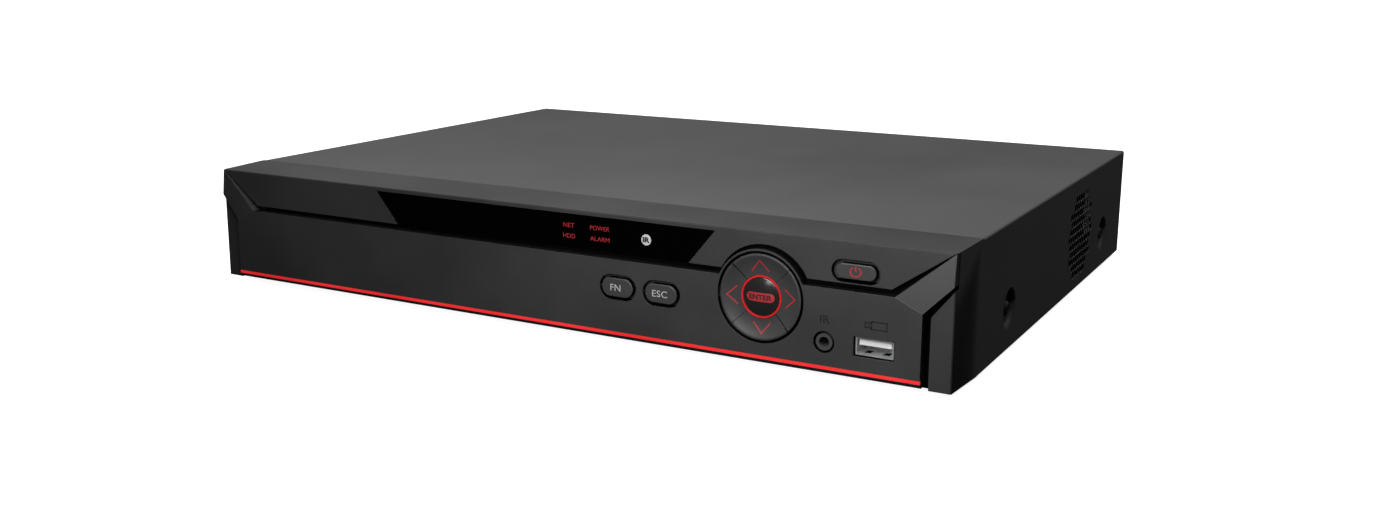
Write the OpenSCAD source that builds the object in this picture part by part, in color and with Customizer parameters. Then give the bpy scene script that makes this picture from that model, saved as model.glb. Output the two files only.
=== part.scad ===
// Desktop video recorder in a case one rack unit high: folded steel tray and cover, moulded
// plastic front, hard drive, circuit boards, rear sockets and a side fan.
// Millimetres. The front faces -Y and +Z is up. The origin is on the floor, under the middle
// of the whole recorder. Each piece is drawn with Y = 0 at the front band and Z = 0 under the
// tray, and placed() then moves it into the frame above.

/* [Case] */
// Width of the case
case_w = 325; // [322:1:328]
// Depth from the front band to the back of the case
case_d = 246; // [245:1:250]
// Height of the case without its feet
case_h = 47.4; // [47.2:0.2:49]
// Thickness of the sheet steel
sheet = 1; // [0.8:0.1:1]
// Height of the rubber feet
foot_h = 2.4; // [2:0.2:4]

/* [Front] */
// Depth of the moulded front
bezel_d = 25; // [24:1:25]
// Distance that the lower faceplate stands in front of the band
plate_proud = 2.7; // [2:0.1:3]
// Height of the faceplate's upper edge
plate_top = 31; // [30.8:0.1:31.4]
// Height of the band's lower edge
band_z = 32.7; // [32.5:0.1:32.9]
// Distance that a button stands in front of the wall round it
cap_proud = 0.5; // [0.3:0.1:0.7]
// Distance that a button travels
press = 0.6; // [0.4:0.1:0.8]

/* [Direction pad] */
// Distance of the pad's centre from the middle of the case
pad_x = 94.7; // [94:0.1:96]
// Height of the pad's centre
pad_z = 24.6; // [24.2:0.1:24.8]
// Radius of the hole in the faceplate
pad_hole_r = 16.1; // [16:0.1:16.2]
// Radius of the four keys together
pad_r = 15.2; // [15:0.1:15.3]

/* [Inside] */
// Thickness of a circuit board
board_t = 1.6; // [1.2:0.2:1.6]

/* [Hidden] */
$fn = 48;

drive = [101.6, 147, 26.1];
fan_side = 40;
socket_out = 11;
front_y = (plate_proud + cap_proud - case_d - socket_out) / 2;
bend = 1;
taper = 1;
edge = 0.35;
wall = 2;
skin = 5;
floor_y = 3;
half_w = case_w / 2;
front_half = half_w - taper;
front_top = case_h - 0.5;
front_low = 0.45;
cheek_x = 153.9;
plate_x = 151.9;
plate_low = 1.3;
band_tip = [-142.3, 140.5];
window_top = 45.3;
facet_x = front_half - 0.1;
board_y = 12;
switch_y = board_y - 4.7;
stem_end = switch_y - press - 0.1;
fn_at = [38.3, 20.8];
esc_at = [56.3, 20.8];
power_at = [128, 37];
jack_at = [118.4, 12.4];
usb_at = [135.9, 12.6];
led_at = [[15.5, 40.8], [15.5, 36.8], [29, 40.8], [29, 36.8]];
receiver_at = [48.5, 38.8];
badge_r = 2.1;
boss_at = [[16, 10], [72, 10], [150, 38]];
dimple_depth = 2.2;
dimple_r = 7.75;
dimple_y = [61, 209];
dimple_z = 15;
tray_half = half_w - 2 * sheet - dimple_depth;
panel_y = case_d - 2 * sheet;
flange_z = 39.4;
vent_y = 166;
vent_z = 22.6;
vent_r = 20.5;
vent_pitch = 3.7;
vent_hole = 3.6;
main_z = 7;
deck = main_z + board_t;
main_low = [-50, 126];
main_high = [147, panel_y - 1];
standoff_at = [[-44, 132], [141, 132], [-44, 212], [141, 216], [62, 132]];
video_x = [65, 83, 101, 119];
video_z = [16, 32];
audio_at = [[42, 16], [42, 30]];
vga_x = 16;
hdmi_x = -8;
lan_x = -25;
usb_rear_x = -42;
terminal_x = 133;
power_socket_x = 142.2;
port_z = deck + 6.4;
drive_at = [-105, 45, 3];
drive_hole_x = 47.625;
drive_hole_y = [60.6, 105.05];
fan_x = tray_half - sheet;

// Moves a piece from its own measures, from the band and the tray, into the recorder's frame
module placed() {
    translate([0, front_y, foot_h]) children();
}

// Extrudes an outline drawn in X and Z from depth y0 back to depth y1
module slab(y0, y1) {
    translate([0, y1, 0]) rotate([90, 0, 0]) linear_extrude(y1 - y0) children();
}

// Round bar along Y
module rod_y(r, y0, y1) {
    translate([0, y1, 0]) rotate([90, 0, 0]) cylinder(r = r, h = y1 - y0);
}

// Round bar along X
module rod_x(r, x0, x1) {
    translate([x0, 0, 0]) rotate([0, 90, 0]) cylinder(r = r, h = x1 - x0);
}

// Box from its lowest corner to its highest corner
module block(low, high) {
    translate(low) cube(high - low);
}

// Outline with half-round ends
module pill(w, h) {
    square([w - h, h], center = true);
    for (side = [-1, 1])
        translate([side * (w - h) / 2, 0]) circle(d = h);
}

// Upright rectangle with its two upper corners rounded
module bent_outline(w, h, r) {
    translate([-w / 2, 0]) square([w, h - r]);
    translate([-w / 2 + r, 0]) square([w - 2 * r, h]);
    for (side = [-1, 1])
        translate([side * (w / 2 - r), h - r]) circle(r);
}

// Crosshead screw with its seat at Z = 0 and its shank pointing down
module screw(head_r, head_h, shank_r, shank_l) {
    difference() {
        union() {
            cylinder(r = head_r, h = head_h * 0.5);
            translate([0, 0, head_h * 0.5])
                cylinder(r1 = head_r, r2 = head_r * 0.7, h = head_h * 0.5);
        }
        for (turn = [0, 90])
            rotate(turn) translate([-head_r * 0.6, -0.35, head_h * 0.4])
                cube([head_r * 1.2, 0.7, head_h]);
    }
    translate([0, 0, -shank_l]) cylinder(r = shank_r, h = shank_l);
}

// The faceplate's outline without the ring round the direction pad
module plate_outline() {
    polygon([[-plate_x, plate_low], [plate_x, plate_low], [plate_x, 26.5], [142.5, plate_top],
        [-142.5, plate_top], [-plate_x, 26.5]]);
}

// Space in front of the moulded floor, which holds the faceplate and the grooves round it
module recess_outline() {
    polygon([[-cheek_x, -1], [cheek_x, -1], [cheek_x, 25.2], [half_w + 1, 37.3], [half_w + 1, 47],
        [front_half - 0.4, front_top], [band_tip[1], band_z], [band_tip[0], band_z],
        [-front_half + 0.4, front_top], [-half_w - 1, 47], [-half_w - 1, 37.3], [-cheek_x, 25.2]]);
    translate([pad_x, pad_z]) circle(pad_hole_r + 1.9);
}

// Trapezium of the display window
module window_outline(gap) {
    polygon([[-65.7 + gap, band_z], [65.7 - gap, band_z], [76 - gap, window_top - gap],
        [-76 + gap, window_top - gap]]);
}

// Hexagonal field of hexagonal vent holes, cut through a side wall from x0 to x1
module vent_field(x0, x1) {
    rows = floor(vent_r / (vent_pitch * 0.866)) - 1;
    for (row = [-rows : rows], col = [-6 : 6]) {
        dy = (col + (row % 2 == 0 ? 0 : 0.5)) * vent_pitch;
        dz = row * vent_pitch * 0.866;
        if (norm([dy, dz]) + vent_hole / 2 < vent_r + 0.8)
            translate([x0, vent_y + dy, vent_z + dz]) rotate([0, 90, 0])
                cylinder(d = vent_hole, h = x1 - x0, $fn = 6);
    }
}

// Dished screw seat pressed into a side wall, seen along its axis with the wall's face at Z = 0
module dimple_cup() {
    rotate_extrude() polygon([[1.7, -dimple_depth - sheet], [4.9, -dimple_depth - sheet],
        [dimple_r + 0.9, -sheet], [dimple_r + 0.9, 0], [dimple_r, 0], [4.6, -dimple_depth],
        [1.7, -dimple_depth]]);
}

module chassis_tray() {
    color("dimgray") placed() difference() {
        union() {
            block([-tray_half, bezel_d, 0], [tray_half, panel_y + sheet, sheet]);
            block([-tray_half, bezel_d, 0], [tray_half, bezel_d + sheet, 42.5]);
            for (side = [0, 1])
                mirror([side, 0, 0])
                    block([tray_half - sheet, bezel_d, 0], [tray_half, panel_y, 22]);
            block([tray_half - sheet, vent_y - 23, 0], [tray_half, vent_y + 23, 44.6]);
            for (side = [-1, 1], y = drive_hole_y)
                translate([drive_at[0] + side * drive_hole_x, drive_at[1] + y, 0])
                    cylinder(r = 5, h = drive_at[2]);
        }
        for (side = [-1, 1], y = drive_hole_y)
            translate([drive_at[0] + side * drive_hole_x, drive_at[1] + y, -1])
                cylinder(r = 1.8, h = 6);
        for (p = standoff_at)
            translate([p[0], p[1], -1]) cylinder(r = 1.6, h = 3);
        for (side = [0, 1], y = dimple_y)
            mirror([side, 0, 0]) translate([0, y, dimple_z]) rod_x(1.5, tray_half - 3, tray_half + 1);
        translate([0, vent_y, vent_z]) rod_x(fan_side / 2 - 1, tray_half - 3, tray_half + 1);
        for (dy = [-16, 16], dz = [-16, 16])
            translate([0, vent_y + dy, vent_z + dz]) rod_x(1.7, tray_half - 3, tray_half + 1);
        for (x = [-120, -40, 40, 120])
            block([x - 6, bezel_d - 1, 1.4], [x + 6, bezel_d + 2, 4.8]);
        block([22, bezel_d - 1, 9], [58, bezel_d + 2, 20]);
        for (row = [0 : 7], x = [-128, -82])
            translate([x, 66 + row * 14, -1]) linear_extrude(3) pill(30, 4);
    }
}

module rear_panel() {
    color("silver") placed() difference() {
        block([-half_w + sheet + 0.2, panel_y, sheet],
            [half_w - sheet - 0.2, panel_y + sheet, case_h - sheet - 0.1]);
        for (x = video_x, z = video_z)
            translate([x, 0, z]) rod_y(6.3, panel_y - 1, case_d);
        for (p = audio_at)
            translate([p[0], 0, p[1]]) rod_y(4.7, panel_y - 1, case_d);
        slab(panel_y - 1, case_d) {
            translate([vga_x, port_z]) square([19.4, 11], center = true);
            for (side = [-1, 1])
                translate([vga_x + side * 12.495, port_z]) circle(2.6);
            translate([hdmi_x, deck + 3.2]) square([15.8, 6.8], center = true);
            translate([lan_x, deck + 6.8]) square([16.6, 14], center = true);
            translate([usb_rear_x, deck + 3.7]) square([13.7, 6.5], center = true);
            translate([power_socket_x, deck + 5.5]) square([9.4, 11.4], center = true);
            translate([terminal_x, deck + 4.5]) square([8.8, 9.4], center = true);
            for (row = [0 : 4], col = [0 : 3])
                translate([-140 + col * 20, 10 + row * 6]) pill(15, 2.6);
        }
        translate([-66, 0, 15]) rod_y(1.5, panel_y - 1, case_d);
        for (x = [-150, 0, 150])
            translate([x, 0, 43]) rod_y(1.5, panel_y - 1, case_d);
    }
}

module top_cover() {
    color("dimgray") placed() {
        difference() {
            slab(bezel_d, case_d) difference() {
                bent_outline(case_w, case_h, bend);
                translate([0, -1]) bent_outline(case_w - 2 * sheet, case_h - sheet + 1, bend - 0.7);
            }
            for (side = [0, 1])
                mirror([side, 0, 0]) {
                    vent_field(half_w - 2 * sheet, half_w + 1);
                    for (y = dimple_y)
                        translate([0, y, dimple_z]) rod_x(dimple_r, half_w - 2 * sheet, half_w + 1);
                }
        }
        for (side = [0, 1], y = dimple_y)
            mirror([side, 0, 0]) translate([half_w, y, dimple_z]) rotate([0, 90, 0]) dimple_cup();
        for (side = [0, 1])
            mirror([side, 0, 0])
                block([tray_half + 0.1, bezel_d, 0], [half_w - sheet / 2, case_d, sheet]);
        difference() {
            block([-half_w + sheet / 2, case_d - sheet, flange_z],
                [half_w - sheet / 2, case_d, case_h - sheet / 2]);
            for (x = [-150, 0, 150])
                translate([x, 0, 43]) rod_y(1.7, case_d - 2, case_d + 1);
        }
    }
}

// Tapered block of the moulded front, made smaller all round by inset
module bezel_block(y0, y1, inset) {
    hull() {
        slab(y1 - 2, y1) translate([-half_w + inset, inset])
            square([case_w - 2 * inset, case_h - 2 * inset]);
        slab(y0 + edge, y0 + edge + 0.1) translate([-front_half + inset, front_low + inset])
            square([2 * (front_half - inset), front_top - front_low - 2 * inset]);
        slab(y0, y0 + 0.1) translate([-front_half + inset + edge, front_low + inset + edge])
            square([2 * (front_half - inset - edge), front_top - front_low - 2 * (inset + edge)]);
    }
}

module bezel_frame() {
    color("black") placed() difference() {
        union() {
            difference() {
                bezel_block(0, bezel_d, 0);
                bezel_block(skin, bezel_d + 0.1, wall);
            }
            for (p = boss_at)
                translate([p[0], 0, p[1]]) rod_y(3, skin - 0.5, board_y);
            for (x = [-120, -40, 40, 120]) {
                block([x - 5, bezel_d - 8, 43.2], [x + 5, bezel_d + 3, 45.6]);
                block([x - 5, bezel_d + sheet + 0.1, 41.6], [x + 5, bezel_d + 3, 43.4]);
                block([x - 5, bezel_d - 8, 1.8], [x + 5, bezel_d + 3, 4.4]);
            }
        }
        slab(-1, floor_y) recess_outline();
        slab(-1, skin + 1) window_outline(0);
        slab(2, skin + 1) translate([-77.5, band_z + 1.5])
            square([155, window_top - band_z - 1.5]);
        slab(-1, skin + 1) translate(power_at) pill(17.4, 7.8);
        slab(2, skin + 1) translate(power_at) square([20.5, 8], center = true);
        slab(0, skin + 1) {
            translate([pad_x, pad_z]) circle(pad_r);
            translate(fn_at) pill(12, 6);
            translate(esc_at) pill(12, 6);
            translate(jack_at) square(9.2, center = true);
            translate(usb_at) square([14.6, 8], center = true);
        }
        for (p = boss_at)
            translate([p[0], 0, p[1]]) rod_y(1.1, skin, board_y + 1);
    }
}

// Sloping facet at one upper corner of the faceplate, which runs out to the side of the case
module facet() {
    crease_y = -plate_proud + 0.1;
    inner = [142.5, crease_y, plate_top];
    outer = [plate_x, crease_y, 26.5];
    top = [facet_x, 0, front_top - 0.1];
    face = cross(outer - inner, top - inner);
    difference() {
        slab(crease_y, floor_y)
            polygon([[inner[0], inner[2]], [outer[0], outer[2]], [facet_x, 36.2], [top[0], top[2]]]);
        translate(inner) rotate([0, acos(face[2] / norm(face)), atan2(face[1], face[0])])
            translate([-40, -40, 0]) cube([80, 80, 20]);
    }
}

module lower_faceplate() {
    back_y = -plate_proud + wall;
    color("black") placed() difference() {
        union() {
            slab(-plate_proud, back_y) {
                plate_outline();
                translate([pad_x, pad_z]) circle(pad_hole_r + 0.7);
            }
            difference() {
                slab(back_y - 0.5, floor_y) plate_outline();
                slab(back_y - 1, floor_y + 1) translate([-plate_x + 1.5, plate_low + 1.5])
                    square([2 * plate_x - 3, plate_top - plate_low - 3]);
            }
            facet();
            mirror([1, 0, 0]) facet();
        }
        translate([0, -plate_proud, plate_low]) rotate([45, 0, 0])
            cube([2 * plate_x + 2, 2.26, 2.26], center = true);
        slab(-plate_proud - 1, -plate_proud + 0.8)
            translate([-plate_x - 1, 3]) square([2 * plate_x + 2, 1.15]);
        translate([pad_x, 0, pad_z]) rod_y(pad_hole_r, -plate_proud - 1, back_y + 0.01);
        translate([pad_x, 0, pad_z]) rod_y(pad_hole_r + 1.1, back_y, floor_y + 1);
        slab(-plate_proud - 1, back_y + 1) {
            translate(fn_at) pill(15.3, 9.4);
            translate(esc_at) pill(15.3, 9.4);
            translate(usb_at) square([14.2, 6.7], center = true);
        }
        translate([jack_at[0], 0, jack_at[1]]) rod_y(3.8, -plate_proud - 1, back_y + 1);
    }
}

module display_window() {
    color("black") placed() {
        slab(0.8, 3) window_outline(0.1);
        slab(2.1, 3) translate([-77.3, band_z + 1.7])
            square([154.6, window_top - band_z - 1.9]);
    }
}

module red_trim_strip() {
    color("red") placed() slab(-plate_proud, -plate_proud + 0.8)
        translate([-plate_x, 3]) square([2 * plate_x, 1.15]);
}

// Button with a crowned cap, a collar that keeps it in the front, and a stem to its switch
module pill_button(at, w, h, wall_y) {
    translate([at[0], 0, at[1]]) {
        slab(wall_y - cap_proud + 0.5, wall_y + 3) pill(w, h);
        slab(wall_y - cap_proud + 0.2, wall_y + 1) pill(w - 0.4, h - 0.4);
        slab(wall_y - cap_proud, wall_y + 1) pill(w - 1.2, h - 1.2);
        slab(wall_y + wall + 0.1, wall_y + wall + 1.1) square([w + 4.2, h + 1], center = true);
        rod_y(2, wall_y + 1, stem_end);
    }
}

module power_button() {
    color("dimgray") placed() pill_button(power_at, 14.4, 5.3, 0);
}

module fn_button() {
    color("dimgray") placed() pill_button(fn_at, 12.9, 7, -plate_proud);
}

module esc_button() {
    color("dimgray") placed() pill_button(esc_at, 12.9, 7, -plate_proud);
}

// One quarter of the dished direction pad, its stem pointing back; turn 0 is the upper key
module nav_key(turn) {
    inner_r = 7.65;
    rim = 2.75;
    dish = 1.3;
    dish_w = pad_r - 0.8 - inner_r;
    reach = 20;
    gap = 0.12;
    translate([pad_x, 0, pad_z]) rotate([0, turn, 0]) {
        intersection() {
            rotate([90, 0, 0]) rotate_extrude() polygon(concat(
                [[pad_r, 2.35], [pad_r, 0.6], [pad_hole_r + 0.5, 0.6], [pad_hole_r + 0.5, -0.6],
                [pad_r, -0.6], [pad_r, -1.6], [inner_r, -1.6]],
                [for (i = [0 : 4]) [inner_r + dish_w * i / 4, rim - dish * (1 - pow(i / 4, 2))]],
                [[pad_r - 0.3, rim - 0.05]]));
            slab(-4, 3) translate([0, gap * sqrt(2)])
                polygon([[0, 0], [reach, reach], [-reach, reach]]);
        }
        translate([0, 0, 11.6]) rod_y(2, 1, stem_end);
    }
}

module nav_key_up() {
    color("dimgray") placed() nav_key(0);
}

module nav_key_right() {
    color("dimgray") placed() nav_key(90);
}

module nav_key_down() {
    color("dimgray") placed() nav_key(180);
}

module nav_key_left() {
    color("dimgray") placed() nav_key(270);
}

module nav_accent_ring() {
    color("red") placed() translate([pad_x, 0, pad_z]) difference() {
        rod_y(7.45, -1.7, board_y);
        rod_y(6.95, -plate_proud, board_y + 1);
    }
}

module enter_button() {
    color("black") placed() translate([pad_x, 0, pad_z]) {
        rotate([90, 0, 0]) rotate_extrude() polygon([[0, -3], [6.75, -3], [6.75, 1.5], [6.4, 1.75],
            [5, 2.1], [2.5, 2.4], [0, 2.5]]);
        rod_y(2, 2, stem_end);
    }
}

module ir_jack() {
    color("dimgray") placed() translate([jack_at[0], 0, jack_at[1]]) difference() {
        union() {
            rod_y(2.95, -plate_proud + 0.3, 1.5);
            slab(1, board_y) square(7.6, center = true);
        }
        rod_y(1.8, -plate_proud - 1, board_y - 1);
    }
}

// Steel shell of a USB socket, its mouth at Y = 0 and its length along +Y
module usb_shell(length) {
    difference() {
        slab(0, length) square([13.1, 5.9], center = true);
        slab(-1, length - 0.4) square([12.3, 5.1], center = true);
        for (side = [-1, 1])
            block([side * 3.2 - 1.1, 2.2, -4], [side * 3.2 + 1.1, 6.5, -2]);
    }
}

// Plastic tongue of a USB socket, held at the back of its shell
module usb_tongue(length) {
    slab(0.9, length - 0.5) translate([-5.55, 0.35]) square([11.1, 1.84]);
    slab(length - 2.5, length - 0.5) square([12.2, 5], center = true);
}

module usb_front_shell() {
    color("silver") placed() translate([usb_at[0], -plate_proud + 1, usb_at[1]])
        usb_shell(board_y + plate_proud - 1);
}

module usb_front_tongue() {
    color("white") placed() translate([usb_at[0], -plate_proud + 1, usb_at[1]])
        usb_tongue(board_y + plate_proud - 1);
}

module front_board() {
    color("darkgreen") placed() difference() {
        block([8, board_y, 5], [157, board_y + board_t, 43]);
        for (p = boss_at)
            translate([p[0], 0, p[1]]) rod_y(1.6, board_y - 1, board_y + 3);
    }
}

// Where each button presses: power, FN, ESC, enter and the four keys round it
function switch_at() = concat([power_at, fn_at, esc_at, [pad_x, pad_z]],
    [for (turn = [0 : 90 : 270]) [pad_x + 11.6 * sin(turn), pad_z + 11.6 * cos(turn)]]);

module tact_switches() {
    color("silver") placed() for (p = switch_at())
        translate([p[0], 0, p[1]]) {
            slab(board_y - 3.5, board_y) square(5.2, center = true);
            rod_y(1.7, switch_y, board_y - 3.4);
        }
}

module status_leds() {
    color("red") placed() for (p = led_at)
        translate([p[0], 0, p[1]]) {
            rod_y(1.5, board_y - 5, board_y);
            rod_y(1.9, board_y - 1, board_y);
        }
}

module ir_receiver() {
    color("black") placed() translate([receiver_at[0], 0, receiver_at[1]]) {
        slab(board_y - 4, board_y) square([5.6, 6.4], center = true);
        rod_y(2, board_y - 6, board_y - 3.9);
    }
}

module front_ribbon_cable() {
    route = [[21, 15], [27, 15], [33, 12], [40, 5], [44, 4], [112, 4], [117, 6], [123, 14],
        [128, 15], [133, 15]];
    thick = 0.9;
    color("gray") placed() translate([30, 0, 0]) rotate([90, 0, 90]) linear_extrude(20)
        polygon(concat(route, [for (i = [len(route) - 1 : -1 : 0]) route[i] + [0, thick]]));
}

module ribbon_headers() {
    color("white") placed() {
        block([28.5, board_y + board_t, 12.5], [51.5, 21, 18.5]);
        block([28.5, 133, deck], [51.5, 139, 18.5]);
    }
}

module front_board_screws() {
    color("silver") placed() for (p = boss_at)
        translate([p[0], board_y + board_t, p[1]]) rotate([-90, 0, 0]) screw(2.6, 1.6, 1.05, 6);
}

module main_board() {
    color("darkgreen") placed() difference() {
        block([main_low[0], main_low[1], main_z], [main_high[0], main_high[1], deck]);
        for (p = standoff_at)
            translate([p[0], p[1], main_z - 1]) cylinder(r = 1.7, h = board_t + 2);
    }
}

module board_standoffs() {
    color("gold") placed() for (p = standoff_at)
        translate([p[0], p[1], sheet]) difference() {
            cylinder(r = 3, h = main_z - sheet, $fn = 6);
            translate([0, 0, 1]) cylinder(r = 1.25, h = main_z);
        }
}

module board_screws() {
    color("silver") placed() for (p = standoff_at)
        translate([p[0], p[1], deck]) screw(2.7, 1.8, 1.2, 5);
}

module main_processor() {
    color("black") placed() block([30, 168, deck], [56, 194, deck + 2]);
}

module heatsink() {
    color("silver") placed() {
        block([28, 166, deck + 2], [58, 196, deck + 4.5]);
        for (i = [0 : 8])
            block([28 + i * 3.6, 166, deck + 4.5], [29.2 + i * 3.6, 196, deck + 14]);
    }
}

module memory_chips() {
    color("black") placed() for (i = [0 : 3])
        block([66, 150 + i * 14, deck], [79, 160 + i * 14, deck + 1.1]);
}

module video_chips() {
    color("black") placed() for (x = [92, 114])
        block([x - 7, 200, deck], [x + 7, 214, deck + 1.4]);
}

module capacitors() {
    near_power = [for (row = [0 : 1], x = [126, 136]) [x, 196 - row * 12]];
    color("darkslategray") placed() for (p = concat(near_power, [[126, 172], [0, 214], [-12, 214]]))
        translate([p[0], p[1], deck]) {
            cylinder(r = 4, h = 1);
            cylinder(r = 3.7, h = 10.5);
        }
}

module buzzer() {
    color("black") placed() translate([-20, 186, deck]) difference() {
        cylinder(r = 6, h = 7.5);
        translate([0, 0, 5]) cylinder(r = 1, h = 5);
    }
}

module battery_holder() {
    color("black") placed() translate([0, 158, deck]) difference() {
        cylinder(r = 12, h = 4.4);
        translate([0, 0, 1.2]) cylinder(r = 10.1, h = 6);
        block([-4, -13, 2.6], [4, -8, 5]);
    }
}

module coin_cell() {
    color("silver") placed() translate([0, 158, deck + 1.2]) cylinder(r = 10, h = 3.2);
}

module video_socket_blocks() {
    color("black") placed() for (x = video_x)
        difference() {
            block([x - 8.6, panel_y - 19, deck], [x + 8.6, panel_y, 39]);
            for (z = video_z)
                translate([x, 0, z]) rod_y(4.8, panel_y - 8, panel_y + 1);
        }
}

// Pair of bayonet lugs on a video socket whose mouth is at Y = end
module bayonet_lugs(end) {
    translate([0, end - 5.6, 0]) rod_x(1, -5.5, -4.4);
    translate([0, end - 5.6, 0]) rod_x(1, 4.4, 5.5);
}

module video_socket_barrels() {
    end = case_d + socket_out;
    color("silver") placed() for (x = video_x, z = video_z)
        translate([x, 0, z]) {
            difference() {
                union() {
                    rod_y(4.8, end - 4.4, end);
                    rod_y(4.6, panel_y - 8, end - 4.3);
                    rod_y(6, panel_y, panel_y + sheet + 1.4);
                    bayonet_lugs(end);
                }
                rod_y(4.05, end - 9, end + 1);
            }
            difference() {
                rod_y(2.4, end - 9.5, end - 1);
                rod_y(0.7, end - 6, end);
            }
        }
}

module audio_sockets() {
    color("firebrick") placed() {
        block([35.5, panel_y - 13, deck], [48.5, panel_y, 36.5]);
        for (p = audio_at)
            translate([p[0], 0, p[1]]) difference() {
                union() {
                    rod_y(4.5, panel_y - 0.5, case_d);
                    rod_y(4.15, case_d - 0.1, case_d + 8.5);
                }
                rod_y(1.65, case_d - 4, case_d + 9);
            }
    }
}

// Outline of a D-shaped socket with rounded corners
module d_outline(w, h, r) {
    slant = 0.9;
    hull() {
        for (side = [-1, 1]) {
            translate([side * (w / 2 - r), h / 2 - r]) circle(r, $fn = 32);
            translate([side * (w / 2 - r - slant), -h / 2 + r]) circle(r, $fn = 32);
        }
    }
}

module vga_socket() {
    color("blue") placed() translate([vga_x, 0, port_z]) {
        block([-15.4, panel_y - 12, deck - port_z], [15.4, panel_y, 6.2]);
        difference() {
            slab(panel_y - 0.5, case_d + 5) d_outline(17, 8.4, 2.4);
            for (row = [-1 : 1], col = [-2 : 2])
                translate([col * 2.3 + row * 0.6, 0, row * 2]) rod_y(0.5, case_d, case_d + 6);
        }
    }
}

module vga_jack_screws() {
    color("silver") placed() for (side = [-1, 1])
        translate([vga_x + side * 12.495, 0, port_z]) difference() {
            rotate([-90, 0, 0]) translate([0, 0, panel_y]) cylinder(r = 2.5, h = 7, $fn = 6);
            rod_y(1.2, panel_y + 0.8, case_d + 8);
        }
}

module hdmi_socket() {
    color("silver") placed() translate([hdmi_x, 0, deck + 3.2]) {
        difference() {
            slab(panel_y - 10, case_d + 0.6) square([15, 6.2], center = true);
            slab(panel_y - 7, case_d + 1) square([14, 5], center = true);
        }
        slab(panel_y - 8, case_d - 0.6) square([11.5, 1.1], center = true);
    }
}

module lan_socket() {
    color("silver") placed() translate([lan_x, 0, deck + 6.7]) difference() {
        slab(panel_y - 17, case_d + 0.5) square([16, 13.4], center = true);
        slab(panel_y - 12, case_d + 1) {
            translate([-5.9, -3.8]) square([11.8, 7.6]);
            translate([-3, -5.4]) square([6, 3]);
        }
    }
}

module usb_rear_shell() {
    color("silver") placed() translate([usb_rear_x, case_d + 0.5, deck + 3.7])
        rotate(180) usb_shell(14);
}

module usb_rear_tongue() {
    color("white") placed() translate([usb_rear_x, case_d + 0.5, deck + 3.7])
        rotate(180) usb_tongue(14);
}

module power_socket() {
    color("black") placed() translate([power_socket_x, 0, deck + 5.5]) {
        difference() {
            slab(panel_y - 13, case_d + 0.4) square([9, 11], center = true);
            rod_y(3.15, case_d - 9, case_d + 1);
        }
        rod_y(1, case_d - 9.5, case_d - 1);
    }
}

module rs485_terminal() {
    color("green") placed() translate([terminal_x, 0, deck + 4.5]) difference() {
        slab(panel_y - 8, case_d + 0.6) square([8.4, 9], center = true);
        for (side = [-1, 1]) {
            translate([side * 2, 0, -1.6]) rod_y(1.1, case_d - 6, case_d + 1);
            translate([side * 2, panel_y - 3.5, 1]) cylinder(r = 1.3, h = 5);
        }
    }
}

module ground_screw() {
    color("gold") placed() translate([-66, case_d - sheet, 15])
        rotate([-90, 0, 0]) screw(4, 2.4, 1.45, 5);
}

module drive_body() {
    color("darkgray") placed() translate([drive_at[0], drive_at[1], drive_at[2]]) difference() {
        block([-drive[0] / 2, 0, 0], [drive[0] / 2, drive[1], drive[2] - 2]);
        block([-drive[0] / 2 + 8, 6, -1], [drive[0] / 2 - 8, drive[1] - 2, 3]);
        block([-40, drive[1] - 9, -1], [18, drive[1] + 1, 5.5]);
        for (side = [-1, 1], y = drive_hole_y)
            translate([side * drive_hole_x, y, -1]) cylinder(r = 1.45, h = 5);
        for (side = [0, 1], y = [28.5, 130.1])
            mirror([side, 0, 0]) translate([0, y, 6.35])
                rod_x(1.45, drive[0] / 2 - 4, drive[0] / 2 + 1);
    }
}

module drive_lid() {
    lid_at = [drive_at[0], drive_at[1], drive_at[2] + drive[2] - 2];
    color("silver") placed() translate(lid_at) difference() {
        union() {
            linear_extrude(1.2) difference() {
                translate([-drive[0] / 2 + 1, 2]) square([drive[0] - 2, drive[1] - 4]);
                for (side = [-1, 1])
                    translate([side * drive[0] / 2, drive[1] / 2]) circle(6);
            }
            translate([-4, 96, 0]) cylinder(r = 42, h = 1.6);
            translate([-4, 96, 0]) cylinder(r = 10, h = 2);
        }
        for (x = [-44, 44], y = [8, 139])
            translate([x, y, 0.4]) cylinder(r = 2.4, h = 2);
    }
}

module drive_board() {
    color("darkgreen") placed() translate([drive_at[0], drive_at[1], drive_at[2]])
        block([-40, 20, 0.8], [40, drive[1] - 10, 2.4]);
}

module drive_screws() {
    color("silver") placed() for (side = [-1, 1], y = drive_hole_y)
        translate([drive_at[0] + side * drive_hole_x, drive_at[1] + y, 0])
            rotate([180, 0, 0]) screw(3, 1.4, 1.4, 6);
}

// Flat lead that leaves the drive along +Y and turns towards +X, standing on its edge
module flat_lead(x0, y0, x1, y1, thick) {
    bend_r = 6;
    translate([0, 0, 6]) linear_extrude(6) {
        translate([x0, y0]) square([thick, y1 - bend_r - y0]);
        translate([x0 + bend_r, y1 - thick]) square([x1 - x0 - bend_r, thick]);
        intersection() {
            translate([x0 + bend_r, y1 - bend_r]) difference() {
                circle(bend_r);
                circle(bend_r - thick);
            }
            translate([x0, y1 - bend_r]) square(bend_r);
        }
    }
}

module sata_cables() {
    color("red") placed() {
        flat_lead(-96, 203, -54, 216, 1.2);
        flat_lead(-122, 203, -54, 224, 2);
    }
}

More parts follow.
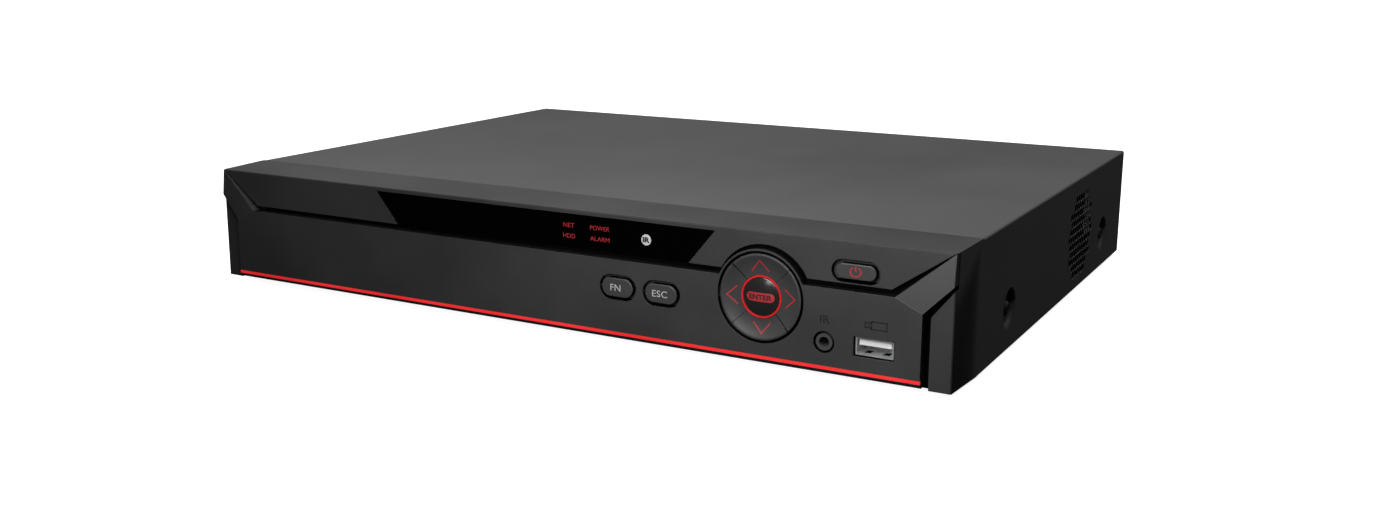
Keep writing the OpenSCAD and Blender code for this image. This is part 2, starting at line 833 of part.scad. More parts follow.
module sata_plugs() {
    plug_y = drive_at[1] + drive[1];
    color("black") placed() {
        block([-102, plug_y - 8, 3.8], [-89, 203, 8.4]);
        block([-101, 198, 3.8], [-90, 203, 13]);
        block([-134, plug_y - 8, 3.8], [-108, 203, 8.4]);
        block([-130, 198, 3.8], [-112, 203, 13]);
        block([-54, 211, deck], [-48, 220, 16]);
        block([-54, 221.4, deck], [-48, 226, 16]);
    }
}

// A fan drawn with its axis along Z, its inner face at Z = 0
module fan_place() {
    placed() translate([fan_x - 10, vent_y, vent_z]) rotate([0, 90, 0]) children();
}

module fan_frame() {
    color("black") fan_place() {
        difference() {
            translate([-fan_side / 2, -fan_side / 2, 0]) cube([fan_side, fan_side, 10]);
            translate([0, 0, -1]) cylinder(r = fan_side / 2 - 1, h = 12);
            for (dx = [-16, 16], dy = [-16, 16])
                translate([dx, dy, -1]) cylinder(r = 1.5, h = 12);
        }
        difference() {
            union() {
                cylinder(r = 10.5, h = 1.4);
                for (turn = [30, 150, 270])
                    rotate(turn) translate([0, -1.5, 0]) cube([fan_side / 2 - 0.5, 3, 1.4]);
                cylinder(r = 2.4, h = 6);
            }
            translate([0, 0, -1]) cylinder(r = 1.05, h = 9);
        }
    }
}

module fan_rotor() {
    color("dimgray") fan_place() {
        difference() {
            translate([0, 0, 2]) cylinder(r = 10.5, h = 7.4);
            translate([0, 0, 1]) cylinder(r = 9, h = 7);
        }
        translate([0, 0, 0.4]) cylinder(r = 1, h = 8.5);
        intersection() {
            translate([0, 0, 2]) difference() {
                cylinder(r = fan_side / 2 - 1.7, h = 7);
                translate([0, 0, -1]) cylinder(r = 10.2, h = 9);
            }
            for (i = [0 : 6])
                rotate(i * 360 / 7) translate([14, 0, 5.5]) rotate([38, 0, 0])
                    cube([12, 14, 0.9], center = true);
        }
    }
}

module fan_screws() {
    color("silver") fan_place() for (dx = [-16, 16], dy = [-16, 16])
        translate([dx, dy, 10 + sheet]) screw(2.8, 1.6, 1.45, 8);
}

module cover_screws() {
    color("black") placed() {
        for (side = [0, 1], y = dimple_y)
            mirror([side, 0, 0]) translate([half_w - dimple_depth, y, dimple_z]) rotate([0, 90, 0])
                screw(2.9, 1.7, 1.45, 4);
        for (x = [-150, 0, 150])
            translate([x, case_d, 43]) rotate([-90, 0, 0]) screw(2.9, 1.7, 1.45, 5);
    }
}

module rubber_feet() {
    color("black") placed() for (x = [-135, 135], y = [48, 212])
        translate([x, y, -foot_h]) difference() {
            union() {
                cylinder(r = 7.4, h = 0.6);
                translate([0, 0, 0.5]) cylinder(r = 8, h = foot_h - 0.5);
            }
            translate([0, 0, -1]) cylinder(r = 3, h = 2);
        }
}

chassis_tray();
rear_panel();
top_cover();
bezel_frame();
lower_faceplate();
display_window();
red_trim_strip();
power_button();
fn_button();
esc_button();
nav_key_up();
nav_key_down();
nav_key_left();
nav_key_right();
nav_accent_ring();
enter_button();
ir_jack();
usb_front_shell();
usb_front_tongue();
front_board();
tact_switches();
status_leds();
ir_receiver();
front_ribbon_cable();
ribbon_headers();
front_board_screws();
main_board();
board_standoffs();
board_screws();
main_processor();
heatsink();
memory_chips();
video_chips();
capacitors();
buzzer();
battery_holder();
coin_cell();
video_socket_blocks();
video_socket_barrels();
audio_sockets();
vga_socket();
vga_jack_screws();
hdmi_socket();
lan_socket();
usb_rear_shell();
usb_rear_tongue();
power_socket();
rs485_terminal();
ground_screw();
drive_body();
drive_lid();
drive_board();
drive_screws();
sata_cables();
sata_plugs();
fan_frame();
fan_rotor();
fan_screws();
cover_screws();
rubber_feet();
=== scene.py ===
import math
import bpy
import bmesh
from mathutils import Matrix, Vector


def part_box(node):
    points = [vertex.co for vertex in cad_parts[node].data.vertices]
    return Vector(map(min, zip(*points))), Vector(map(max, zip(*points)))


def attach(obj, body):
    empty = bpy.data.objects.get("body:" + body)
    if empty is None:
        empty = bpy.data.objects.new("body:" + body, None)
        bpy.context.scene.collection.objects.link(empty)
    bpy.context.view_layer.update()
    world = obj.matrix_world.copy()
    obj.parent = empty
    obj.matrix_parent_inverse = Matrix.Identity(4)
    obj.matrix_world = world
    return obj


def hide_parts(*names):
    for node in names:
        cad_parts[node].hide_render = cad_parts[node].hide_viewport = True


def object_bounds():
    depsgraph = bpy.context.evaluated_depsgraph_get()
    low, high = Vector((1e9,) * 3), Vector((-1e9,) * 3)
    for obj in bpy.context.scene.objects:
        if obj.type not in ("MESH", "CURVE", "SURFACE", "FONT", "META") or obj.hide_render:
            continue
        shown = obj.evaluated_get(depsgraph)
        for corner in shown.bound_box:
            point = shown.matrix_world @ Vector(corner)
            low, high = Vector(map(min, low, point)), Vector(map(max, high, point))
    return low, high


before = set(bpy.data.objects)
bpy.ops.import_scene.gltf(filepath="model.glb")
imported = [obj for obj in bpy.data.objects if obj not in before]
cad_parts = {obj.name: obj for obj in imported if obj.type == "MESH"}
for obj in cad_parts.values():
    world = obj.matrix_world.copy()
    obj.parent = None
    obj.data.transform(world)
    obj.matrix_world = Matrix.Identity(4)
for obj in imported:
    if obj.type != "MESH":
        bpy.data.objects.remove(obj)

cadLow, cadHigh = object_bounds()
mm = 0.001
print("frame loaded:", len(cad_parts), "nodes")


class Wire:  # an output socket of a material, which can be used in Python sums
    def __init__(self, tree, socket=None):
        self.tree = tree
        self.socket = socket

    def node(self, kind, settings=None, inputs=None, out=0):
        made = self.tree.nodes.new("ShaderNode" + kind)
        for key, value in (settings or {}).items():
            setattr(made, key, value)
        for key, value in (inputs or {}).items():
            if isinstance(value, Wire):
                self.tree.links.new(value.socket, made.inputs[key])
            else:
                made.inputs[key].default_value = value
        return Wire(self.tree, made.outputs[out] if made.outputs else None)

    def sum(self, operation, *values):
        return self.node("Math", {"operation": operation}, dict(enumerate(values)))

    def __add__(self, other):
        return self.sum("ADD", self, other)

    __radd__ = __add__

    def __mul__(self, other):
        return self.sum("MULTIPLY", self, other)

    __rmul__ = __mul__

    def __sub__(self, other):
        return self.sum("SUBTRACT", self, other)

    def __rsub__(self, other):
        return self.sum("SUBTRACT", other, self)

    def over(self, low, high):  # 0 below low, 1 above high
        return self.node("MapRange", {"clamp": True}, {0: self, 1: low, 2: high})

    def blend(self, first, second):  # colour that goes from first to second with this value
        ends = {6: first, 7: second}
        ends = {k: v if isinstance(v, Wire) else (*v, 1.0) for k, v in ends.items()}
        return self.node("Mix", {"data_type": "RGBA"}, {0: self, **ends}, out=2)


def newFinish(name):
    finish = bpy.data.materials.new(name)
    finish.use_nodes = True
    finish.node_tree.nodes.clear()
    wire = Wire(finish.node_tree)
    return finish, wire, wire.node("TexCoord", out="Object")


def closeFinish(finish, wire, sockets, height=None, depth=0.0):  # depth of the relief, in metres
    if height is not None:
        relief = {"Strength": 1.0, "Distance": depth, "Height": height}
        sockets["Normal"] = wire.node("Bump", inputs=relief)
    shader = wire.node("BsdfPrincipled", inputs=sockets)
    wire.node("OutputMaterial", inputs={"Surface": shader})
    return finish


def noise(wire, coords, scale, detail=3.0, roughness=0.55):
    values = {"Vector": coords, "Scale": scale, "Detail": detail, "Roughness": roughness}
    return wire.node("TexNoise", inputs=values)


def grey(value):
    return (value, value, value * 1.02)


def scaled(colour, share, lift=0.0):
    return tuple(c * share + lift for c in colour)


# Moulded plastic with a spark-eroded skin: fine grain, faint cloudiness, a few shiny rubbed spots; glow,
# where it is set, is painted light
def moulded(name, colour, roughness=0.45, grain=0.6, level=0.5, grainSize=0.35, coat=0.0, glow=0.0):
    finish, wire, coords = newFinish(name)
    cloud = noise(wire, coords, 28, 2)
    fine = noise(wire, coords, 1 / (grainSize * mm), 4, 0.65)
    specks = noise(wire, coords, 1 / (grainSize * 3 * mm), 2).over(0.52, 0.75)
    dark = scaled(colour, 0.86)
    light = scaled(colour, 1.14, 0.002)
    shade = (cloud * 0.6 + fine * 0.4).over(0.35, 0.65).blend(dark, light)
    return closeFinish(finish, wire, {
        "Base Color": shade,
        "Emission Color": shade,
        "Emission Strength": glow,
        "Roughness": (cloud - 0.5) * 0.14 + (fine - 0.5) * 0.12 + specks * -0.05 + roughness,
        "Specular IOR Level": level,
        "Coat Weight": coat,
        "Coat Roughness": 0.12,
    }, fine * grain + specks * (grain * 0.3), 0.00002)


# Baked powder coat on sheet steel: soft orange peel with a fine sparkle
def powdered(name, colour, roughness, level, peel=0.55):
    finish, wire, coords = newFinish(name)
    cloud = noise(wire, coords, 14, 3)
    skin = noise(wire, coords, 1400, 3, 0.5)
    grit = wire.node("TexVoronoi", {"feature": "SMOOTH_F1"},
                     {"Vector": coords, "Scale": 2600, "Smoothness": 0.6})
    dark = scaled(colour, 0.9)
    light = scaled(colour, 1.1)
    return closeFinish(finish, wire, {
        "Base Color": (cloud * 0.5 + skin * 0.5).over(0.35, 0.65).blend(dark, light),
        "Roughness": (cloud - 0.5) * 0.1 + (skin - 0.5) * 0.16 + roughness,
        "Specular IOR Level": level,
    }, skin * peel + grit * (peel * 0.5), 0.00003)


# Metal drawn or brushed along one axis; lengthways the marks are stretched
def brushed(name, colour, roughness=0.28, along="X", marks=0.5, metallic=1.0):
    finish, wire, coords = newFinish(name)
    stretch = {"X": (60, 2600, 2600), "Y": (2600, 60, 2600), "Z": (2600, 2600, 60)}[along]
    drawn = wire.node("Mapping", inputs={"Vector": coords, "Scale": stretch})
    lines = noise(wire, drawn, 1.0, 4, 0.6)
    cloud = noise(wire, coords, 120, 3)
    worn = noise(wire, coords, 900, 2).over(0.5, 0.8)
    dark = scaled(colour, 0.82)
    return closeFinish(finish, wire, {
        "Base Color": (lines * 0.6 + cloud * 0.4).over(0.3, 0.65).blend(dark, colour),
        "Metallic": metallic,
        "Roughness": (lines - 0.5) * 0.22 + (cloud - 0.5) * 0.12 + worn * 0.06 + roughness,
    }, lines * marks, 0.000012)


# Zinc-coated steel with the crystal pattern of hot-dip coating
def galvanised(name, colour, roughness=0.4):
    finish, wire, coords = newFinish(name)
    warped = wire.node("VectorMath", {"operation": "ADD"}, {
        0: coords,
        1: wire.node("VectorMath", {"operation": "SCALE"}, {
            0: wire.node("TexNoise", inputs={"Vector": coords, "Scale": 160}, out=1), "Scale": 0.004}),
    })
    cells = wire.node("TexVoronoi", {"feature": "F1"}, {"Vector": warped, "Scale": 190}, out=1)
    tone = wire.node("SeparateColor", inputs={"Color": cells})
    fine = noise(wire, coords, 2200, 3)
    dark = scaled(colour, 0.72)
    return closeFinish(finish, wire, {
        "Base Color": (tone * 0.8 + fine * 0.2).over(0.0, 1.0).blend(dark, colour),
        "Metallic": 1.0,
        "Roughness": tone * 0.16 + fine * 0.1 + (roughness - 0.1),
    }, fine * 0.4 + tone * 0.15, 0.00001)


# Circuit board: solder mask over copper tracks that run in steps, with via holes painted near-black as
# the shade inside them
def circuitBoard(name, colour, plane="XY"):
    finish, wire, coords = newFinish(name)
    turn = {"XY": (0, 0, 0), "XZ": (math.radians(90), 0, 0)}[plane]
    flat = wire.node("Mapping", {"vector_type": "POINT"}, {"Vector": coords, "Rotation": turn})
    tracks = wire.node("TexBrick", {"offset": 0.37, "squash": 1.6, "squash_frequency": 3}, {
        "Vector": flat, "Color1": (0, 0, 0, 1), "Color2": (0.25, 0.25, 0.25, 1),
        "Mortar": (1, 1, 1, 1), "Scale": 1.0, "Mortar Size": 0.00022, "Mortar Smooth": 0.1,
        "Bias": 0.0, "Brick Width": 0.0075, "Row Height": 0.0011})
    copper = wire.node("SeparateColor", inputs={"Color": tracks}).over(0.3, 0.7)
    vias = wire.node("TexVoronoi", {"feature": "F1"}, {"Vector": flat, "Scale": 230, "Randomness": 0.8})
    ring = 1.0 - vias.over(0.10, 0.16)
    hole = 1.0 - vias.over(0.05, 0.07)
    weave = noise(wire, coords, 1800, 3)
    mask = copper.blend(scaled(colour, 0.75), scaled(colour, 1.5, 0.01))
    tinned = ring.blend(mask, (0.62, 0.6, 0.52))
    return closeFinish(finish, wire, {
        "Base Color": hole.blend(tinned, (0.01, 0.01, 0.01)),
        "Metallic": ring * 0.8,
        "Roughness": (weave - 0.5) * 0.14 + 0.32,
    }, copper * 0.5 + weave * 0.12 + ring * 0.3 - hole, 0.00004)


# Black polished acrylic with a hairline haze
def polished(name, colour, roughness=0.05, level=0.5):
    finish, wire, coords = newFinish(name)
    haze = noise(wire, coords, 60, 4)
    dust = noise(wire, coords, 5000, 2).over(0.66, 0.74)
    return closeFinish(finish, wire, {
        "Base Color": dust.blend(colour, scaled(colour, 1.6, 0.004)),
        "Roughness": haze * 0.03 + dust * 0.12 + roughness,
        "Specular IOR Level": level,
    }, haze * 0.1 + dust * 0.1, 0.000004)


# Screen-printed ink, slightly uneven where the screen's threads were; glow lights a legend from behind,
# and on the red marks is painted light
def ink(name, colour, glow=0.0, roughness=0.5):
    finish, wire, coords = newFinish(name)
    threads = noise(wire, coords, 6500, 2).over(0.3, 0.7)
    faint = scaled(colour, 0.78)
    shade = threads.blend(faint, colour)
    return closeFinish(finish, wire, {
        "Base Color": shade,
        "Emission Color": shade,
        "Emission Strength": glow,
        "Roughness": threads * 0.1 + roughness,
    }, threads, 0.000008)


# Flat cable: ridges along its length, with painted shade in the grooves between them
def ribbed(name, colour, pitch, along="X"):
    finish, wire, coords = newFinish(name)
    axis = {"X": 0, "Y": 1, "Z": 2}[along]
    across = wire.node("SeparateXYZ", inputs={"Vector": coords}, out=axis)
    ridge = wire.sum("SINE", across * (2 * math.pi / pitch)) * 0.5 + 0.5
    fine = noise(wire, coords, 3000, 2)
    return closeFinish(finish, wire, {
        "Base Color": ridge.blend(scaled(colour, 0.6), colour),
        "Roughness": fine * 0.2 + 0.42,
    }, ridge + fine * 0.1, 0.0002)


blackPlastic = dict(colour=grey(0.030), roughness=0.42, level=0.42)
finishes = {
    "coverPaint": powdered("coverPaint", grey(0.052), 0.46, 0.5),
    "rearPaint": powdered("rearPaint", grey(0.03), 0.5, 0.4),
    "frontPlastic": moulded("frontPlastic", **blackPlastic),
    "platePlastic": moulded("platePlastic", **blackPlastic),
    # painted shade: darker plastic on the chamfer above the band
    "paintedShadeEdge": moulded("paintedShadeEdge", grey(0.02), 0.6, 0.4, 0.15),
    "buttonPlastic": moulded("buttonPlastic", grey(0.034), 0.48, 0.45, 0.4),
    "padPlastic": moulded("padPlastic", grey(0.032), 0.45, 0.45, 0.42),
    "enterGloss": moulded("enterGloss", grey(0.012), 0.2, 0.08, 0.6, coat=0.6),
    "windowAcrylic": polished("windowAcrylic", (0.0004, 0.0004, 0.0005), 0.06, 0.12),
    # painted shade: near-black on walls and floors that lie in shade
    "paintedShadeBlack": moulded("paintedShadeBlack", grey(0.0012), 0.6, 0.4, 0.05),
    "dimpleShade": powdered("dimpleShade", grey(0.008), 0.6, 0.1),
    # painted glint: bright steel on a few vent hole walls
    "paintedGlintSteel": brushed("paintedGlintSteel", (0.85, 0.85, 0.86), 0.5, "X", 0.3, 0.3),
    # painted light: the red trim strip and the ring round the pad glow though they are no lamps
    "redTrimPaintedGlow": moulded("redTrimPaintedGlow", (0.28, 0.008, 0.009), 0.35, 0.2, 0.4, glow=2.2),
    "redRingPaintedGlow": moulded("redRingPaintedGlow", (0.4, 0.011, 0.013), 0.32, 0.2, 0.4, glow=0.5),
    "litRed": ink("litRed", (0.3, 0.012, 0.018), 0.5),
    # painted light: the red marks glow faintly though no lamp lights them
    "printRedPaintedGlow": ink("printRedPaintedGlow", (0.35, 0.012, 0.018), 0.1),
    "printGrey": ink("printGrey", (0.42, 0.42, 0.43)),
    "printDark": ink("printDark", (0.0015, 0.0015, 0.0018), 0.0, 0.8),
    "badgeWhite": ink("badgeWhite", (0.5, 0.5, 0.49)),
    "jackPlastic": moulded("jackPlastic", grey(0.045), 0.4, 0.3),
    "shellSteel": brushed("shellSteel", (0.84, 0.84, 0.85), 0.34, "Y", 0.3, 0.8),
    "tongueNylon": moulded("tongueNylon", (0.72, 0.72, 0.71), 0.45, 0.3),
    "creamNylon": moulded("creamNylon", (0.72, 0.69, 0.58), 0.45, 0.3),
    "traySteel": galvanised("traySteel", (0.62, 0.63, 0.64)),
    "screwSteel": brushed("screwSteel", (0.62, 0.62, 0.63), 0.3, "X", 0.3),
    "blackZinc": brushed("blackZinc", (0.02, 0.02, 0.022), 0.5, "X", 0.3, 0.4),
    "nickel": brushed("nickel", (0.74, 0.72, 0.69), 0.18, "Y", 0.25),
    "brass": brushed("brass", (0.75, 0.56, 0.25), 0.26, "Z", 0.4),
    "greenBoard": circuitBoard("greenBoard", (0.012, 0.10, 0.045)),
    "frontGreenBoard": circuitBoard("frontGreenBoard", (0.012, 0.10, 0.045), "XZ"),
    "chipEpoxy": moulded("chipEpoxy", grey(0.022), 0.55, 0.8, 0.4, 0.2),
    "finAluminium": brushed("finAluminium", (0.72, 0.73, 0.75), 0.34, "Y", 0.6),
    "castAluminium": moulded("castAluminium", (0.40, 0.41, 0.42), 0.4, 1.0, 0.8, 0.5),
    "lidSteel": brushed("lidSteel", (0.62, 0.63, 0.64), 0.3, "X", 0.3),
    "sleeveBlue": moulded("sleeveBlue", (0.015, 0.022, 0.07), 0.3, 0.1, 0.5),
    "ledLens": moulded("ledLens", (0.55, 0.02, 0.02), 0.15, 0.05, 0.5, coat=0.5),
    "eyeTint": moulded("eyeTint", (0.03, 0.008, 0.014), 0.12, 0.05, 0.5, coat=0.5),
    "switchBody": brushed("switchBody", (0.5, 0.5, 0.5), 0.35, "X", 0.3),
    "socketBlack": moulded("socketBlack", grey(0.02), 0.42, 0.5),
    "phonoRed": moulded("phonoRed", (0.45, 0.02, 0.02), 0.38, 0.4),
    "socketBlue": moulded("socketBlue", (0.02, 0.06, 0.34), 0.38, 0.4),
    "terminalGreen": moulded("terminalGreen", (0.015, 0.24, 0.07), 0.4, 0.4),
    "footRubber": moulded("footRubber", grey(0.02), 0.75, 1.6, 0.3, 0.6),
    "redJacket": moulded("redJacket", (0.50, 0.02, 0.02), 0.5, 0.5),
    "greyRibbon": ribbed("greyRibbon", (0.42, 0.42, 0.43), 0.00127),
}
nodeFinish = {
    "chassis_tray": "traySteel", "rear_panel": "rearPaint", "ir_jack": "jackPlastic",
    "usb_front_shell": "shellSteel", "usb_front_tongue": "tongueNylon",
    "front_board": "frontGreenBoard", "tact_switches": "switchBody", "status_leds": "ledLens",
    "ir_receiver": "eyeTint", "front_ribbon_cable": "greyRibbon", "ribbon_headers": "creamNylon",
    "front_board_screws": "screwSteel", "main_board": "greenBoard", "board_standoffs": "brass",
    "board_screws": "screwSteel", "main_processor": "chipEpoxy", "heatsink": "finAluminium",
    "memory_chips": "chipEpoxy", "video_chips": "chipEpoxy", "capacitors": "sleeveBlue",
    "buzzer": "socketBlack", "battery_holder": "socketBlack", "coin_cell": "shellSteel",
    "video_socket_blocks": "socketBlack", "video_socket_barrels": "nickel",
    "audio_sockets": "phonoRed", "vga_socket": "socketBlue", "vga_jack_screws": "nickel",
    "hdmi_socket": "shellSteel", "lan_socket": "shellSteel", "usb_rear_shell": "shellSteel",
    "usb_rear_tongue": "tongueNylon", "power_socket": "socketBlack",
    "rs485_terminal": "terminalGreen", "ground_screw": "brass", "drive_body": "castAluminium",
    "drive_lid": "lidSteel", "drive_board": "greenBoard", "drive_screws": "screwSteel",
    "sata_cables": "redJacket", "sata_plugs": "socketBlack", "fan_frame": "socketBlack",
    "fan_rotor": "chipEpoxy", "fan_screws": "screwSteel", "cover_screws": "blackZinc",
    "rubber_feet": "footRubber", "red_trim_strip": "redTrimPaintedGlow", "nav_accent_ring": "redRingPaintedGlow",
    "display_window": "windowAcrylic",
}
for nodeName, finishName in nodeFinish.items():
    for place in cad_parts[nodeName].material_slots:
        place.material = finishes[finishName]
print("finishes made:", len(finishes))


def addPiece(name, shape, finish, body, replaced=(), smooth=30, others=()):
    mesh = bpy.data.meshes.new(name)
    shape.to_mesh(mesh)
    shape.free()
    piece = bpy.data.objects.new(name, mesh)
    bpy.context.collection.objects.link(piece)
    for finishName in (finish, *others):
        mesh.materials.append(finishes[finishName])
    mesh.shade_smooth()
    mesh.set_sharp_from_angle(angle=math.radians(smooth))
    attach(piece, body)
    if replaced:
        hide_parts(*replaced)
    return piece


def flattenShading(piece):  # keeps large flat faces flat beside their rounded edges
    modifier = piece.modifiers.new("flat", "WEIGHTED_NORMAL")
    modifier.keep_sharp = True
    modifier.weight = 90


mergeGap = 2e-6  # points nearer than this become one
flatTurn = 1.5  # degrees between faces that count as one flat face
shellSmooth = 35


# Copy of a CAD piece with its triangles merged and its sharp edges rounded
def roundedCopy(nodeName, pieceName, finish, spec):
    shape = bmesh.new()
    shape.from_mesh(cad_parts[nodeName].data)
    bmesh.ops.remove_doubles(shape, verts=shape.verts, dist=mergeGap)
    bmesh.ops.dissolve_limit(shape, angle_limit=math.radians(flatTurn), verts=shape.verts,
                             edges=shape.edges, delimit={"NORMAL"})
    for x in spec.get("cuts", ()):  # parts a face that changes its finish along the way
        bmesh.ops.bisect_plane(shape, geom=shape.verts[:] + shape.edges[:] + shape.faces[:],
                               plane_co=(x, 0, 0), plane_no=(1, 0, 0))
    where = spec.get("where", lambda low, high: True)
    sharp = []
    for edge in shape.edges:
        ends = [v.co for v in edge.verts]
        low, high = Vector(map(min, *ends)), Vector(map(max, *ends))
        turns = edge.is_manifold and edge.calc_face_angle(0) > math.radians(spec["angle"])
        if turns and where(low, high):
            sharp.append(edge)
    bmesh.ops.bevel(shape, geom=sharp, offset=spec["round"], offset_type="OFFSET", segments=spec["steps"],
                    profile=0.5, affect="EDGES", clamp_overlap=True, material=-1)
    others = spec["others"]
    for face in shape.faces:
        for number, belongs in enumerate(others.values(), 1):
            if belongs(face.calc_center_median(), face.normal):
                face.material_index = number
    flattenShading(addPiece(pieceName, shape, finish, "case", [nodeName], shellSmooth,
                            tuple(others)))


def middle(nodeName):
    low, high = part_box(nodeName)
    return (low + high) / 2


plateLow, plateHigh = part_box("lower_faceplate")
bezelLow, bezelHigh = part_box("bezel_frame")
plateFront = plateLow.y
bandFront = bezelLow.y
padAt = middle("enter_button")
fanAt = middle("fan_frame")

# How much of a face's normal lies along an axis, for faces square to it or only slanted towards it
squarely, slanted = 0.9, 0.3

groove = {  # the gap round the faceplate; left of its left end the floor catches the light
    "front": bandFront + 0.4 * mm, "back": bandFront + 5.1 * mm,
    "left": -141 * mm, "right": bezelHigh.x - 2 * mm,
}
chamferDepth = 0.6 * mm
sideInset = 1 * mm


def inFrontGroove(centre, normal):  # the floor and the walls of the gap, which get painted shade
    inDepth = groove["front"] < centre.y < groove["back"]
    return inDepth and groove["left"] < centre.x < groove["right"]


def onBezelSide(centre, normal):
    outside = abs(centre.x) > plateHigh.x - sideInset and centre.y > groove["back"]
    return abs(normal.x) > squarely and outside


def onFrontEdge(centre, normal):  # the small chamfer above the band, darker as painted shade that dims its highlight
    return normal.z > slanted and normal.y < -slanted and centre.y < bandFront + chamferDepth


bezelSpec = {
    "cuts": [groove["left"]],
    "round": 0.12 * mm, "steps": 3, "angle": 25,
    "where": lambda low, high: high.y < bandFront + 6 * mm or low.y > bandFront + 24.9 * mm,
    "others": {"paintedShadeBlack": inFrontGroove, "coverPaint": onBezelSide, "paintedShadeEdge": onFrontEdge},
}
roundedCopy("bezel_frame", "moulded_front", "frontPlastic", bezelSpec)

plateEdge = {"facet": 141 * mm, "bevel": 150 * mm, "depth": 0.12 * mm, "wall": 0.6, "end": 0.99}


def facesGroove(centre, normal):  # walls of the faceplate's openings and edges, which get painted shade
    onWall = centre.y > plateFront + plateEdge["depth"] and abs(normal.y) < plateEdge["wall"]
    onFacet = abs(centre.x) > plateEdge["facet"] and normal.z > 0
    onEnd = abs(normal.x) > plateEdge["end"] or centre.x < -plateEdge["bevel"]
    return onWall and not (onFacet or onEnd)


plateSpec = {
    "round": 0.18 * mm, "steps": 2, "angle": 12,
    "where": lambda low, high: high.y < bandFront + 2 * mm,
    "others": {"paintedShadeBlack": facesGroove},
}
roundedCopy("lower_faceplate", "faceplate", "platePlastic", plateSpec)

vents = {"reach": 22 * mm, "glintY": (6 * mm, 18 * mm), "glintZ": (-3 * mm, 17 * mm)}  # from the fan's axis
seat = {"low": cadLow.z + 9 * mm, "high": fanAt.z, "down": -0.12, "slope": (0.05, 0.98)}


def onHoleWall(centre, normal):  # walls of the vent holes, which get painted shade
    spread = math.hypot(centre.y - fanAt.y, centre.z - fanAt.z)
    return abs(normal.x) < slanted and spread < vents["reach"] and abs(centre.x) > fanAt.x


def onPaintedGlintWall(centre, normal):  # walls painted as bright steel, a painted glint on the hole walls that face the lamps
    facesFront = normal.y < -slanted and normal.z < slanted
    inY = vents["glintY"][0] < centre.y - fanAt.y < vents["glintY"][1]
    inZ = vents["glintZ"][0] < centre.z - fanAt.z < vents["glintZ"][1]
    return onHoleWall(centre, normal) and facesFront and inY and inZ


def inDimple(centre, normal):  # the upper part of a screw's dished seat, which faces down and gets painted shade
    facesDown = normal.z < seat["down"] and seat["slope"][0] < abs(normal.x) < seat["slope"][1]
    return facesDown and seat["low"] < centre.z < seat["high"] and abs(centre.x) > fanAt.x


coverSpec = {
    "round": 0.12 * mm, "steps": 2, "angle": 40,
    "others": {"paintedShadeBlack": onHoleWall, "paintedGlintSteel": onPaintedGlintWall, "dimpleShade": inDimple},
}
roundedCopy("top_cover", "steel_cover", "coverPaint", coverSpec)
print("case shells rounded")


def stretchEnds(points, reach):  # pulls a circle's halves apart into a pill
    for point in points:
        if abs(point.co.x) > 1e-7:
            point.co.x += math.copysign(reach, point.co.x)


def pushOut(shape, move):  # gives a flat drawing its thickness
    grown = bmesh.ops.extrude_face_region(shape, geom=shape.faces[:])["geom"]
    pushed = [v for v in grown if isinstance(v, bmesh.types.BMVert)]
    bmesh.ops.translate(shape, verts=pushed, vec=move)
    bmesh.ops.recalc_face_normals(shape, faces=shape.faces)


rodSides = 24


def addRod(shape, radius, y0, y1, at):
    turn = Matrix.Rotation(math.radians(90), 4, "X")
    placed = Matrix.Translation((at.x, (y0 + y1) / 2, at.z)) @ turn
    bmesh.ops.create_cone(shape, cap_ends=True, segments=rodSides, radius1=radius, radius2=radius,
                          depth=abs(y1 - y0), matrix=placed)


def addBlock(shape, low, high):
    low, high = Vector(low), Vector(high)
    size = Matrix.Diagonal((*(high - low), 1.0))
    bmesh.ops.create_cube(shape, size=1.0, matrix=Matrix.Translation((low + high) / 2) @ size)


pill = {  # shared by the three pill-shaped buttons; corner is in radians
    "depth": 3 * mm, "sides": 56, "rim": 0.1 * mm, "corner": 1.2, "steps": 6, "shade": 0.45,
    "flangeBack": 2.1 * mm, "flange": 1 * mm, "stem": 2 * mm,
}
pillSpecs = {
    "power_button": {"w": 14.4 * mm, "h": 5.3 * mm, "wall": bandFront, "crown": 0.45 * mm},
    "fn_button": {"w": 12.9 * mm, "h": 7 * mm, "wall": plateFront, "crown": 0.45 * mm},
    "esc_button": {"w": 12.9 * mm, "h": 7 * mm, "wall": plateFront, "crown": 0.45 * mm},
}
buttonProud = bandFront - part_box("power_button")[0].y


def pillButton(nodeName, spec):
    at = middle(nodeName)
    low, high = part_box(nodeName)
    shape = bmesh.new()
    outline = bmesh.ops.create_circle(shape, cap_ends=True, segments=pill["sides"],
                                      radius=spec["h"] / 2)["verts"]
    stretchEnds(outline, (spec["w"] - spec["h"]) / 2)
    bmesh.ops.transform(shape, verts=outline, matrix=Matrix.Rotation(math.radians(90), 4, "X"))
    pushOut(shape, (0, pill["depth"], 0))
    rim = [e for e in shape.edges if max(v.co.y for v in e.verts) < pill["rim"]
           and e.calc_face_angle(0) > pill["corner"]]
    bmesh.ops.bevel(shape, geom=rim, offset=spec["crown"], offset_type="OFFSET", segments=pill["steps"],
                    profile=0.5, affect="EDGES", clamp_overlap=True, material=-1)
    moved = Matrix.Translation((at.x, spec["wall"] - buttonProud, at.z))
    bmesh.ops.transform(shape, verts=shape.verts, matrix=moved)
    for face in shape.faces:  # the side walls get painted shade, as they lie in the shade of the gap
        if abs(face.normal.y) < pill["shade"]:
            face.material_index = 1
    wallBack = spec["wall"] + pill["flangeBack"]
    addBlock(shape, (low.x, wallBack, low.z), (high.x, wallBack + pill["flange"], high.z))
    addRod(shape, pill["stem"], wallBack, high.y, at)
    flattenShading(addPiece(nodeName.replace("button", "cap"), shape, "buttonPlastic", nodeName,
                            [nodeName], others=["paintedShadeBlack"]))


for nodeName, spec in pillSpecs.items():
    pillButton(nodeName, spec)


